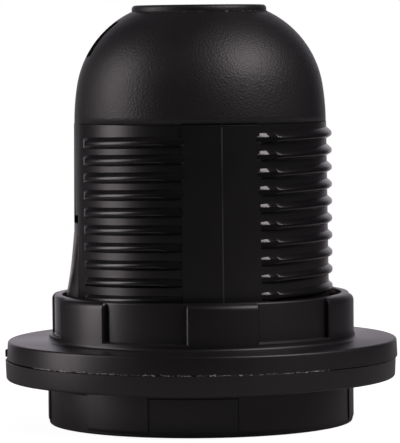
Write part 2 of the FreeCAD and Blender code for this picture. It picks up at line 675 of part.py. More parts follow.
def main():
    """Builds every sub-part and writes them."""
    strap_top = f"({BLOCK_TOP} + strap_thickness)"
    foot_low = "(ledge_height - strip_thickness)"
    flange_low = "(ledge_height - shell_wall)"
    parts = [
        make_dome_cap(),
        make_barrel(),
        make_ring("upper_ring", "upper_ring_turn", "ring_height + ring_gap", flipped=False),
        make_ring("lower_ring", "lower_ring_turn", "ring_height", flipped=True),
        make_entry_nut(),
        make_lock_screw(),
        make_terminal_block(),
        make_screw_shell(),
        make_centre_contact(),
        make_contact_button(),
        make_rivet("centre_rivet", "0", "-live_rivet_offset", foot_low, strap_top),
        make_terminal("live_terminal", "live_rivet_offset", 0),
        make_terminal("neutral_terminal", "shell_rivet_circle", 180),
        make_terminal_screw("live_screw", "1"),
        make_terminal_screw("neutral_screw", "-1"),
    ]
    for number, (x, y) in enumerate(SHELL_RIVETS, 1):
        high = strap_top if number == 1 else BLOCK_TOP
        parts.append(make_rivet(f"shell_rivet_{number}", x, y, flange_low, high))
    write_parts(parts)


main()
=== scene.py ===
"""Looks of a screw lamp holder: moulded black plastics, brass and nickel insert, soft studio.

Everything is in metres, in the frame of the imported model: Z up along the barrel, origin in the
plane of the lamp mouth.
"""
from __future__ import annotations

import json
import logging
import math
import random
from collections.abc import Iterator, Sequence
from contextlib import contextmanager
from dataclasses import dataclass, field
from enum import Enum

import bpy
from mathutils import Matrix, Vector

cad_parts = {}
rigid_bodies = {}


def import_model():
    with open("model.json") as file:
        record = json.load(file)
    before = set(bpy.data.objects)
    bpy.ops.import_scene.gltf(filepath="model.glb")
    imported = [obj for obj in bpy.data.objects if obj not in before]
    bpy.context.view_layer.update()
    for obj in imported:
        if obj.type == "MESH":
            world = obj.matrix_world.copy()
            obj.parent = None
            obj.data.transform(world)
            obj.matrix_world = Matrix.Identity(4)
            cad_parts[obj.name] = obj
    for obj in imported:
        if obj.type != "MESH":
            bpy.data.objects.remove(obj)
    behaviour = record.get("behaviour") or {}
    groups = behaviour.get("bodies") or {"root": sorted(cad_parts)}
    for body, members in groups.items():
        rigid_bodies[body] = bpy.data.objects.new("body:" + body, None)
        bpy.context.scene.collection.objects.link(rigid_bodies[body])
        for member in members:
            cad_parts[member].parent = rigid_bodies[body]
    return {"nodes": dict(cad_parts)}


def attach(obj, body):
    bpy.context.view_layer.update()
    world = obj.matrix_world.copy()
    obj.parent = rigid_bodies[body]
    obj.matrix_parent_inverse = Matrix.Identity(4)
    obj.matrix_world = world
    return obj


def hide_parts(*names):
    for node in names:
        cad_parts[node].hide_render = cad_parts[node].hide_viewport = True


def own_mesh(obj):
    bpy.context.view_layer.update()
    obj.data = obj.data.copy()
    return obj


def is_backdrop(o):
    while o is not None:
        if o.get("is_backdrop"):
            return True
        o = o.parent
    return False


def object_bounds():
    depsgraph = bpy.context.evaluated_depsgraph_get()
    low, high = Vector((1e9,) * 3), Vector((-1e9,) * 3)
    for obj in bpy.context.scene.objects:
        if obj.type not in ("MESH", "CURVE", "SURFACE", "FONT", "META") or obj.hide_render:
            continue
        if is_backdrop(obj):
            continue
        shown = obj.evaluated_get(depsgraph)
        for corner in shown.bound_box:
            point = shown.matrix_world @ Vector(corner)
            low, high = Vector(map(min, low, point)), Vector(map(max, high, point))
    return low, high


Piece = bpy.types.Object
Tree = bpy.types.NodeTree
Socket = bpy.types.NodeSocket

LOG = logging.getLogger("lamp_holder")
MM = 0.001
WELD = 0.001 * MM
SPIN_WELD = 0.002 * MM
CARRIED_CREASE = 28.0
PATCH_GRAINS = 45.0
TURNED_STRETCH = (0.12, 0.12, 1.0)
LAMP_TINT = (1.0, 0.91, 0.94)


class Slot(Enum):
    """The record's material slots."""

    CAP = "cap_plastic"
    BARREL = "barrel_plastic"
    RING = "ring_plastic"
    PORCELAIN = "porcelain"
    BRASS = "brass"
    NICKEL = "nickel_plate"
    STEEL = "screw_steel"


class Grain(Enum):
    """How the surface of a moulding or a plating is broken up."""

    SPARK = "spark"
    FLOW = "flow"
    TURNED = "turned"
    GLAZE = "glaze"


def node_at(tree: Tree, kind: str, **settings: object) -> bpy.types.Node:
    """Adds a shader node and sets its plain properties.

    Args:
        tree: The node tree to add to.
        kind: Blender's node type name.
        **settings: Properties of the node and their values.

    Returns:
        The new node.
    """
    node = tree.nodes.new(kind)
    for name, value in settings.items():
        setattr(node, name, value)
    return node


@dataclass(frozen=True)
class Finish:
    """One procedural finish, worked out on object coordinates.

    Attributes:
        slot: The record's slot that the finish belongs to.
        colour: Linear base colour.
        shade: The colour that patches of the surface drift towards.
        roughness: Mean roughness.
        spread: How far the roughness swings about its mean.
        grain: What breaks the surface up.
        grain_size: Size of one grain in metres.
        relief: Height of the grain in metres.
        metallic: 1 for metals and plating.
        coat: Weight of a clear skin.
    """

    slot: Slot
    colour: tuple[float, float, float]
    shade: tuple[float, float, float]
    roughness: float
    spread: float
    grain: Grain
    grain_size: float
    relief: float
    metallic: float = 0.0
    coat: float = 0.0

    def material(self, name: str) -> bpy.types.Material:
        """Makes the node material.

        Args:
            name: Name of the new material.

        Returns:
            The material.
        """
        made = bpy.data.materials.new(name)
        made.use_nodes = True
        tree = made.node_tree
        tree.nodes.clear()
        out = node_at(tree, "ShaderNodeOutputMaterial")
        skin = node_at(tree, "ShaderNodeBsdfPrincipled")
        skin.inputs["Metallic"].default_value = self.metallic
        skin.inputs["Coat Weight"].default_value = self.coat
        tree.links.new(skin.outputs["BSDF"], out.inputs["Surface"])
        place = node_at(tree, "ShaderNodeTexCoord").outputs["Object"]
        drift = self._noise(tree, place, 1.0 / (self.grain_size * PATCH_GRAINS), 3.0, 0.55)
        self._patches(tree, skin, drift)
        self._relief(tree, skin, place)
        return made

    def _noise(self, tree: Tree, place: Socket, scale: float, detail: float, rough: float
               ) -> Socket:
        """Adds a noise texture.

        Args:
            tree: The material's node tree.
            place: Where the noise takes its position from.
            scale: Patches in a metre.
            detail: How many finer layers it has.
            rough: How strong the finer layers are.

        Returns:
            The noise's factor.
        """
        noise = node_at(tree, "ShaderNodeTexNoise")
        noise.inputs["Scale"].default_value = scale
        noise.inputs["Detail"].default_value = detail
        noise.inputs["Roughness"].default_value = rough
        tree.links.new(place, noise.inputs["Vector"])
        return noise.outputs["Fac"]

    def _patches(self, tree: Tree, skin: bpy.types.Node, drift: Socket) -> None:
        """Lets the base colour and the roughness drift in patches.

        Args:
            tree: The material's node tree.
            skin: The shader.
            drift: Noise from 0 to 1 over the surface.
        """
        ramp = node_at(tree, "ShaderNodeValToRGB")
        first, last = ramp.color_ramp.elements
        first.position, first.color = 0.35, (*self.colour, 1.0)
        last.position, last.color = 0.7, (*self.shade, 1.0)
        tree.links.new(drift, ramp.inputs["Fac"])
        tree.links.new(ramp.outputs["Color"], skin.inputs["Base Color"])
        swing = node_at(tree, "ShaderNodeMapRange")
        for name, value in (("From Min", 0.3), ("From Max", 0.7),
                            ("To Min", self.roughness - self.spread),
                            ("To Max", self.roughness + self.spread)):
            swing.inputs[name].default_value = value
        tree.links.new(drift, swing.inputs["Value"])
        tree.links.new(swing.outputs["Result"], skin.inputs["Roughness"])

    def _relief(self, tree: Tree, skin: bpy.types.Node, place: Socket) -> None:
        """Breaks the surface up with the grain as a bump.

        Args:
            tree: The material's node tree.
            skin: The shader.
            place: Object coordinates.
        """
        if self.grain is Grain.SPARK:
            pits = node_at(tree, "ShaderNodeTexVoronoi", feature="SMOOTH_F1")
            pits.inputs["Scale"].default_value = 1.0 / self.grain_size
            tree.links.new(place, pits.inputs["Vector"])
            height = pits.outputs["Distance"]
        elif self.grain is Grain.TURNED:
            stretch = node_at(tree, "ShaderNodeMapping")
            stretch.inputs["Scale"].default_value = TURNED_STRETCH
            tree.links.new(place, stretch.inputs["Vector"])
            height = self._noise(tree, stretch.outputs["Vector"], 1.0 / self.grain_size, 2.0, 0.5)
        else:
            height = self._noise(tree, place, 1.0 / self.grain_size, 4.0, 0.6)
        bump = node_at(tree, "ShaderNodeBump")
        bump.inputs["Distance"].default_value = self.relief
        tree.links.new(height, bump.inputs["Height"])
        tree.links.new(bump.outputs["Normal"], skin.inputs["Normal"])


CAP_BLACK = Finish(Slot.CAP, (0.0085, 0.0085, 0.0092), (0.0115, 0.0112, 0.0118), 0.47, 0.04,
                   Grain.SPARK, 0.26 * MM, 0.035 * MM)
BARREL_BLACK = Finish(Slot.BARREL, (0.007, 0.007, 0.0075), (0.0095, 0.0092, 0.0098), 0.36, 0.05,
                      Grain.FLOW, 0.9 * MM, 0.010 * MM)
RING_BLACK = Finish(Slot.RING, (0.0072, 0.0070, 0.0076), (0.0098, 0.0094, 0.0102), 0.39, 0.07,
                    Grain.FLOW, 0.7 * MM, 0.010 * MM)
# Painted shade: the barrel's own plastic made darker over the thread, standing in for the shade
# between its ridges.
THREAD_BLACK_PAINTED_SHADE = Finish(Slot.BARREL, (0.0052, 0.0050, 0.0055), (0.0078, 0.0075, 0.0081), 0.26, 0.05,
                      Grain.FLOW, 0.5 * MM, 0.008 * MM)
STOP_BLACK = Finish(Slot.BARREL, (0.008, 0.0075, 0.008), (0.045, 0.038, 0.038), 0.40, 0.12,
                    Grain.FLOW, 0.12 * MM, 0.03 * MM)
FLASH_BLACK = Finish(Slot.BARREL, (0.020, 0.0185, 0.019), (0.05, 0.046, 0.047), 0.35, 0.1,
                     Grain.FLOW, 0.3 * MM, 0.01 * MM)
# Torn flash: its pale patches are partly stress-whitened plastic and partly painted glints along
# the joint.
TORN_FLASH_PAINTED_GLINTS = Finish(Slot.RING, (0.012, 0.011, 0.0115), (0.45, 0.42, 0.43), 0.35, 0.1,
                    Grain.FLOW, 0.02 * MM, 0.03 * MM)
PORCELAIN = Finish(Slot.PORCELAIN, (0.80, 0.79, 0.74), (0.86, 0.85, 0.81), 0.22, 0.05,
                   Grain.GLAZE, 1.6 * MM, 0.02 * MM, coat=0.3)
BRASS = Finish(Slot.BRASS, (0.72, 0.52, 0.24), (0.80, 0.62, 0.33), 0.28, 0.07,
               Grain.TURNED, 0.25 * MM, 0.006 * MM, metallic=1.0)
NICKEL = Finish(Slot.NICKEL, (0.66, 0.63, 0.57), (0.74, 0.72, 0.66), 0.22, 0.06,
                Grain.FLOW, 0.8 * MM, 0.006 * MM, metallic=1.0)
STEEL = Finish(Slot.STEEL, (0.52, 0.53, 0.54), (0.62, 0.62, 0.60), 0.30, 0.06,
               Grain.TURNED, 0.2 * MM, 0.006 * MM, metallic=1.0)


def only_none() -> None:
    """Deselects everything, so that an operator acts only on what it adds."""
    bpy.ops.object.select_all(action="DESELECT")


def only(piece: Piece) -> None:
    """Leaves one object selected and active.

    Args:
        piece: The object.
    """
    only_none()
    piece.select_set(True)
    bpy.context.view_layer.objects.active = piece


@contextmanager
def editing(piece: Piece) -> Iterator[None]:
    """Edit mode on one object, with all of it selected at the start.

    Args:
        piece: The object to edit.

    Yields:
        Nothing; edit mode ends after the block.
    """
    only(piece)
    bpy.ops.object.mode_set(mode="EDIT")
    bpy.ops.mesh.select_all(action="SELECT")
    yield
    bpy.ops.object.mode_set(mode="OBJECT")


def draw(name: str, corners: Sequence[Vector], face: bool = False) -> Piece:
    """Draws a closed outline by extruding one vertex from corner to corner.

    Args:
        name: Name of the new object.
        corners: Corners in order, in metres.
        face: Whether the outline gets a face.

    Returns:
        The new object.
    """
    only_none()
    bpy.ops.mesh.primitive_plane_add(size=MM)
    piece = bpy.context.object
    piece.name = name
    with editing(piece):
        bpy.ops.mesh.merge(type="CENTER")
        bpy.ops.transform.translate(value=corners[0])
        route = [*corners, corners[0]]
        for before, after in zip(route, route[1:]):
            bpy.ops.mesh.extrude_region_move(TRANSFORM_OT_translate={"value": after - before})
        bpy.ops.mesh.select_all(action="SELECT")
        bpy.ops.mesh.remove_doubles(threshold=WELD)
        if face:
            bpy.ops.mesh.edge_face_add()
    return piece


def upright(points: Sequence[tuple[float, float]], turn: float) -> list[Vector]:
    """Turns (radius, height) pairs in millimetres into corners in the plane at an angle.

    Args:
        points: Radius and height of each corner.
        turn: Angle of the plane about the axis, in degrees.

    Returns:
        The corners in metres.
    """
    way = Vector((math.cos(math.radians(turn)), math.sin(math.radians(turn)), 0.0))
    return [(way * radius + Vector((0.0, 0.0, height))) * MM for radius, height in points]


def rounded(centre: tuple[float, float], radius: float, first: float, last: float,
            steps: int = 4) -> list[tuple[float, float]]:
    """Corners of an arc in the (radius, height) plane.

    Args:
        centre: Radius and height of the arc's centre.
        radius: Radius of the arc.
        first: Angle where it starts, in degrees.
        last: Angle where it ends.
        steps: How many chords it has.

    Returns:
        Radius and height of each corner.
    """
    angles = [math.radians(first + (last - first) * i / steps) for i in range(steps + 1)]
    return [(centre[0] + radius * math.cos(angle), centre[1] + radius * math.sin(angle))
            for angle in angles]


def turned(name: str, points: Sequence[tuple[float, float]], steps: int = 192,
           start: float = 0.0, sweep: float = 360.0) -> Piece:
    """Spins an outline about the barrel axis.

    Args:
        name: Name of the new object.
        points: Radius and height of each corner, in millimetres.
        steps: How many steps the spin takes.
        start: Angle where the spin starts, in degrees.
        sweep: How far it turns.

    Returns:
        The new object.
    """
    piece = draw(name, upright(points, start), face=sweep < 359.0)
    with editing(piece):
        bpy.ops.mesh.spin(steps=steps, angle=-math.radians(sweep), center=(0, 0, 0),
                          axis=(0, 0, 1))
        bpy.ops.mesh.select_all(action="SELECT")
        bpy.ops.mesh.remove_doubles(threshold=SPIN_WELD)
        bpy.ops.mesh.normals_make_consistent(inside=False)
    return piece


def block(name: str, low: tuple[float, float, float], high: tuple[float, float, float],
          edge: float = 0.0) -> Piece:
    """A box between two corners.

    Args:
        name: Name of the new object.
        low: Lowest corner in millimetres.
        high: Highest corner in millimetres.
        edge: Width of the bevel on its edges, in millimetres.

    Returns:
        The new object.
    """
    lowest, highest = Vector(low), Vector(high)
    only_none()
    bpy.ops.mesh.primitive_cube_add(size=1.0)
    piece = bpy.context.object
    piece.name = name
    with editing(piece):
        bpy.ops.transform.resize(value=(highest - lowest) * MM)
        bpy.ops.transform.translate(value=(highest + lowest) / 2 * MM)
        if edge:
            bpy.ops.mesh.bevel(offset=edge * MM, segments=2)
    return piece


def prism(name: str, corners: Sequence[Vector], way: Vector) -> Piece:
    """Extrudes a closed outline.

    Args:
        name: Name of the new object.
        corners: Corners of the outline, in metres.
        way: How far and which way it is extruded, in metres.

    Returns:
        The new object.
    """
    piece = draw(name, corners, face=True)
    with editing(piece):
        bpy.ops.mesh.extrude_region_move(TRANSFORM_OT_translate={"value": way})
        bpy.ops.mesh.select_all(action="SELECT")
        bpy.ops.mesh.normals_make_consistent(inside=False)
    return piece


def apply(piece: Piece, kind: str, **settings: object) -> None:
    """Adds a modifier and applies it.

    Args:
        piece: The object.
        kind: Blender's modifier type.
        **settings: Properties of the modifier and their values.
    """
    only(piece)
    modifier = piece.modifiers.new(kind.lower(), kind)
    for name, value in settings.items():
        setattr(modifier, name, value)
    bpy.ops.object.modifier_apply(modifier=modifier.name)


def combine(piece: Piece, tool: Piece, operation: str) -> None:
    """Cuts a tool from a piece or fuses it to the piece, and removes the tool.

    Args:
        piece: The object that stays.
        tool: The object that is cut away or fused.
        operation: DIFFERENCE or UNION.
    """
    apply(piece, "BOOLEAN", operation=operation, object=tool, solver="EXACT")
    only(tool)
    bpy.ops.object.delete()


def soften(piece: Piece, width: float, limit: float = 40.0, segments: int = 2) -> None:
    """Rounds the sharp edges of a piece.

    Args:
        piece: The object.
        width: Width of the rounding in millimetres.
        limit: Only edges sharper than this many degrees are rounded.
        segments: Faces across the rounding.
    """
    apply(piece, "BEVEL", width=width * MM, segments=segments, limit_method="ANGLE",
          angle_limit=math.radians(limit), miter_outer="MITER_ARC", use_clamp_overlap=True)


def smooth(piece: Piece, crease: float = 30.0) -> None:
    """Shades smooth, apart from edges sharper than the crease angle in degrees."""
    only(piece)
    bpy.ops.object.shade_smooth_by_angle(angle=math.radians(crease))


def gather(name: str, parts: Sequence[Piece]) -> Piece:
    """Joins objects into one piece.

    Args:
        name: Name of the piece.
        parts: The objects, of which the first one stays.

    Returns:
        The piece.
    """
    only(parts[0])
    for part in parts[1:]:
        part.select_set(True)
    bpy.ops.object.join()
    parts[0].name = name
    return parts[0]


def copied(piece: Piece, turn: float) -> Piece:
    """A copy with its own mesh.

    Args:
        piece: The object to copy.
        turn: How far the copy is turned about the axis, in degrees.

    Returns:
        The copy.
    """
    only(piece)
    bpy.ops.object.duplicate(linked=False)
    twin = bpy.context.object
    twin.data.transform(Matrix.Rotation(math.radians(turn), 4, "Z"))
    return twin


@dataclass
class Workshop:
    """Carries CAD nodes over and dresses pieces.

    Attributes:
        nodes: The CAD nodes by name.
        finishes: The materials made so far, by finish.
    """

    nodes: dict[str, Piece]
    finishes: dict[Finish, bpy.types.Material] = field(default_factory=dict)

    def carry(self, node: str, body: str, finish: Finish, seam: float = 0.0) -> Piece:
        """Copies a CAD node's mesh, joins its triangles and smooths it, to stand for the node.

        Args:
            node: The CAD node.
            body: The body that it rides on.
            finish: Its finish.
            seam: Height in millimetres of a loop that keeps the shading crisp over an edge.

        Returns:
            The new piece.
        """
        piece = bpy.data.objects.new(f"{node}_piece", self.nodes[node].data.copy())
        bpy.context.scene.collection.objects.link(piece)
        with editing(piece):
            bpy.ops.mesh.remove_doubles(threshold=WELD)
            if seam:
                bpy.ops.mesh.bisect(plane_co=(0, 0, seam * MM), plane_no=(0, 0, 1))
        self.place(piece, body, finish, node, CARRIED_CREASE)
        return piece

    def place(self, piece: Piece, body: str, finish: Finish, node: str,
              crease: float = 30.0) -> None:
        """Smooths and dresses a piece, which rides on a body and stands for a CAD node.

        Args:
            piece: The piece.
            body: The body that it rides on.
            finish: Its finish.
            node: The CAD node.
            crease: Edges sharper than this many degrees stay sharp.
        """
        smooth(piece, crease)
        if finish not in self.finishes:
            self.finishes[finish] = finish.material(f"{finish.slot.value}_{finish.grain.value}")
        piece.data.materials.clear()
        piece.data.materials.append(self.finishes[finish])
        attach(piece, body)
        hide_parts(node)
        LOG.info("%s: %d faces", piece.name, len(piece.data.polygons))


@dataclass
class Barrel:
    """The barrel's wall, lamp sleeve, latch channels, ring stops and mould parting lines.

    All sizes are in millimetres.
    """

    shop: Workshop
    top: float = 44.1
    top_radius: float = 18.55
    foot_radius: float = 18.95
    cavity_radius: float = 16.6
    ledge: float = 24.0
    sleeve_bore: float = 14.3
    sleeve_radius: float = 15.8
    groove_radius: float = 17.0
    groove_depth: float = 20.0
    rib_inner: float = 15.1
    rib_half: float = 3.6
    rib_top: float = 41.0
    channel_half: float = 2.3
    channel_floor: float = 16.9
    notch_bottom: float = 29.6
    window_top: float = 32.9
    window_half: float = 1.6
    window_inner: float = 14.0
    window_outer: float = 17.15
    web_half: float = 0.7
    web_low: float = 1.0
    web_bite: float = 0.2
    web_step: float = 45.0
    smooth_low: float = 9.0
    smooth_half_angle: float = 17.5
    smooth_lift: float = 0.2
    smooth_root: float = 0.3
    smooth_edge: float = 0.08
    flash_width: float = 0.22
    flash_lift: float = 0.07
    flash_root: float = 0.2
    flash_edge: float = 0.04
    stop_half: float = 2.5
    stop_edge: float = 0.12
    stop_root: float = 18.1
    stop_foot: float = 18.6
    long_stop_top: float = 28.1
    long_stop_head: float = 18.58
    long_stop_reach: float = 19.85
    long_stop_bow: float = 74.0
    long_stop_slant: float = 0.55
    slant_radius: float = 18.5
    short_stop_top: float = 20.8
    short_stop_head: float = 18.6
    short_stop_reach: float = 19.75

    def radius_at(self, height: float) -> float:
        """Outside radius of the wall at a height."""
        return self.foot_radius + (self.top_radius - self.foot_radius) * height / self.top

    def build(self) -> None:
        """Builds the wall and what is moulded on it, and dresses it."""
        place = self.shop.place
        place(self.wall(), "holder", BARREL_BLACK, "barrel", 35.0)
        stops = gather("barrel_stops", [self.long_stop(), self.short_stop()])
        place(stops, "holder", STOP_BLACK, "barrel", 35.0)
        lines = gather("barrel_parting_lines", [self.parting_line(-90.0),
                                                self.parting_line(90.0)])
        place(lines, "holder", FLASH_BLACK, "barrel")

    def wall(self) -> Piece:
        """The turned wall with ribs, webs and smooth faces, less the channels and windows.

        Returns:
            The wall.
        """
        wall = turned("barrel_wall", [
            (self.foot_radius, 0.0), (self.top_radius, self.top),
            (self.cavity_radius, self.top), (self.cavity_radius, self.ledge),
            (self.sleeve_bore, self.ledge), (self.sleeve_bore, 0.0), (self.sleeve_radius, 0.0),
            (self.sleeve_radius, self.groove_depth), (self.groove_radius, self.groove_depth),
            (self.groove_radius, 0.0)], steps=240)
        channel_top = self.top + 1.0
        cuts = [
            ("rib", self.rib_inner, self.channel_floor, self.rib_half, self.ledge - 0.3,
             self.rib_top, "UNION"),
            ("channel", self.channel_floor, self.foot_radius + 1.0, self.channel_half,
             self.notch_bottom, channel_top, "DIFFERENCE"),
            ("window", self.window_inner, self.window_outer, self.window_half,
             self.notch_bottom + 0.01, self.window_top, "DIFFERENCE")]
        for side in (-1.0, 1.0):
            for name, inner, outer, half, low, high, operation in cuts:
                near, far = sorted((side * inner, side * outer))
                combine(wall, block(name, (near, -half, low), (far, half, high)), operation)
        webs = [block("web", (self.sleeve_radius - self.web_bite, -self.web_half, self.web_low),
                      (self.groove_radius + self.web_bite, self.web_half,
                       self.groove_depth + self.web_bite))]
        webs += [copied(webs[0], self.web_step * k) for k in range(1, 8)]
        return gather("barrel_wall", [wall, *webs, self.smooth_face(-90.0),
                                      self.smooth_face(90.0)])

    def smooth_face(self, middle: float) -> Piece:
        """The plain face along a parting line, a little proud of the thread's root.

        Args:
            middle: Angle of the parting line, in degrees.

        Returns:
            The face as a turned slab.
        """
        low, high = self.smooth_low, self.top - 0.02
        foot, head, edge = self.radius_at(low), self.radius_at(high), self.smooth_edge
        points = [(foot - self.smooth_root, low), (foot + self.smooth_lift, low),
                  (head + self.smooth_lift, high - edge), (head + self.smooth_lift - edge, high),
                  (head - self.smooth_root, high)]
        return turned("smooth_face", points, 28, middle - self.smooth_half_angle,
                      2 * self.smooth_half_angle)

    def stop(self, name: str, outline: Sequence[tuple[float, float]]) -> Piece:
        """A ring stop from its outline.

        Args:
            name: Name of the stop.
            outline: Place across and height of each corner, in millimetres.

        Returns:
            The stop.
        """
        corners = [Vector((x, -self.stop_half, z)) * MM for x, z in outline]
        return prism(name, corners, Vector((0, 2 * self.stop_half, 0)) * MM)

    def long_stop(self) -> Piece:
        """The flared stop on the left, which the rings jam against.

        Returns:
            The stop, its front slanted and its edges rounded.
        """
        first = Vector((-self.long_stop_head, self.long_stop_top))
        last = Vector((-self.long_stop_reach, self.stop_foot))
        chord = last - first
        across = Vector((-chord.y, chord.x)).normalized()
        sag = chord.length ** 2 / 8 / self.long_stop_bow
        side = [first + chord * t + across * sag * 4 * t * (1 - t)
                for t in (i / 10 for i in range(11))]
        stop = self.stop("long_stop", [*((p.x, p.y) for p in side),
                                       (-self.stop_root, self.stop_foot),
                                       (-self.stop_root, self.long_stop_top)])
        with editing(stop):
            bpy.ops.mesh.bisect(plane_co=Vector((-self.slant_radius, -self.stop_half, 0)) * MM,
                                plane_no=(-1, -self.long_stop_slant, 0), use_fill=True,
                                clear_outer=True)
        soften(stop, self.stop_edge)
        return stop

    def short_stop(self) -> Piece:
        """The short stop on the right.

        Returns:
            The stop, its edges rounded.
        """
        stop = self.stop("short_stop", [(self.short_stop_head, self.short_stop_top),
                                        (self.short_stop_reach, self.stop_foot),
                                        (self.stop_root, self.stop_foot),
                                        (self.stop_root, self.short_stop_top)])
        soften(stop, self.stop_edge)
        return stop

    def parting_line(self, turn: float) -> Piece:
        """The thin line of flash where the mould halves meet.

        Args:
            turn: Its angle about the axis, in degrees.

        Returns:
            The line of flash.
        """
        low, high = self.smooth_low, self.top - 0.3
        foot, head = self.radius_at(low), self.radius_at(high)
        proud = self.smooth_lift + self.flash_lift
        outline = [(foot + proud, low), (head + proud, high), (head - self.flash_root, high),
                   (foot - self.flash_root, low)]
        across = Vector((-math.sin(math.radians(turn)), math.cos(math.radians(turn)), 0.0))
        shift = across * self.flash_width / 2 * MM
        line = prism("parting_line", [corner - shift for corner in upright(outline, turn)],
                     shift * 2)
        soften(line, self.flash_edge)
        return line


@dataclass(frozen=True)
class Stack:
    """A stack of ridges: its name, its first and last angle, and its lowest and highest turn."""

    name: str
    first: float
    last: float
    low: int
    high: int

    @property
    def on_left(self) -> bool:
        """Whether it lies on the side of the long stop."""
        return abs(self.first) > 90.0


@dataclass
class BarrelThread:
    """The ridges of the outside thread, which fade out beside the smooth faces.

    All sizes are in millimetres and degrees.
    """

    shop: Workshop
    pitch: float = 2.5
    phase: float = 2.42
    crest: float = 19.34
    root: float = 18.1
    flank_foot: float = 18.5
    half_crest: float = 0.28
    upper_flank: float = 0.74
    lower_flank: float = 0.50
    edge: float = 0.12
    relief_start: float = 17.5
    relief_end: float = 28.0
    relief_radius: float = 18.88
    left_limit: float = 18.05
    right_half_band: float = 2.8
    stacks: tuple[Stack, ...] = (Stack("thread_front_left", -163.0, -106.0, 1, 16),
                                 Stack("thread_front_right", -74.0, -6.0, 1, 16),
                                 Stack("thread_back_right", 6.0, 74.0, 0, 16),
                                 Stack("thread_back_left", 106.0, 152.0, 0, 15))

    def build(self) -> None:
        """Builds the four stacks of ridges and dresses them."""
        for stack in self.stacks:
            # The ridges take the darker copy of the barrel black, which is painted shade.
            self.shop.place(self.ridges(stack), "holder", THREAD_BLACK_PAINTED_SHADE, "barrel", 40.0)

    def section(self) -> list[tuple[float, float]]:
        """The ridge's outline, with its crest edges eased.

        Returns:
            Radius and height of each corner.
        """
        half, edge, foot = self.half_crest, self.edge, self.flank_foot
        slope = (self.crest - foot) / self.upper_flank
        return [
            (self.root, -half - self.lower_flank), (foot, -half - self.lower_flank),
            (self.crest - edge, -half - edge * 0.4), (self.crest - edge * 0.3, -half + edge * 0.3),
            (self.crest, -half + edge * 1.1), (self.crest, half - edge * 1.1),
            (self.crest - edge * 0.3, half - edge * 0.3), (self.crest - edge, half + edge / slope),
            (foot, half + self.upper_flank), (self.root, half + self.upper_flank)]

    def ceiling(self, angle: float) -> float:
        """Works out how deep the relief beside the smooth faces cuts.

        Args:
            angle: Angle about the axis, in degrees.

        Returns:
            The largest radius that is left there.
        """
        from_face = min(abs(abs(angle) - 90.0), 90.0)
        share = (from_face - self.relief_start) / (self.relief_end - self.relief_start)
        return min(self.crest, self.relief_radius + (self.crest - self.relief_radius) * share)

    def ridges(self, stack: Stack) -> Piece:
        """Makes one stack of ridges.

        Args:
            stack: Where the stack lies.

        Returns:
            The stack as one object.
        """
        sweep = stack.last - stack.first
        ridge = turned(stack.name, self.section(), round(sweep), stack.first, sweep)
        for vertex in ridge.data.vertices:
            angle = math.degrees(math.atan2(vertex.co.y, vertex.co.x))
            radius = math.hypot(vertex.co.x, vertex.co.y)
            scale = min(1.0, self.ceiling(angle) * MM / radius)
            vertex.co.x *= scale
            vertex.co.y *= scale
            vertex.co.z += (self.phase + self.pitch * (angle / 360.0 + stack.low)) * MM
        side = math.copysign(1.0, stack.first)
        limit = (-self.left_limit, 0, 0) if stack.on_left else (0, side * self.right_half_band, 0)
        way = (1, 0, 0) if stack.on_left else (0, side, 0)
        with editing(ridge):
            bpy.ops.mesh.bisect(plane_co=Vector(limit) * MM, plane_no=way, use_fill=True,
                                clear_inner=True)
            # The cut leaves warped faces. A fan from the middle splits them alike in every run.
            bpy.ops.mesh.select_more()
            bpy.ops.mesh.poke()
        if stack.on_left:
            with editing(ridge):
                bpy.ops.mesh.normals_make_consistent(inside=False)
        apply(ridge, "ARRAY", count=stack.high - stack.low + 1, use_relative_offset=False,
              use_constant_offset=True, constant_offset_displace=Vector((0, 0, self.pitch * MM)))
        return ridge


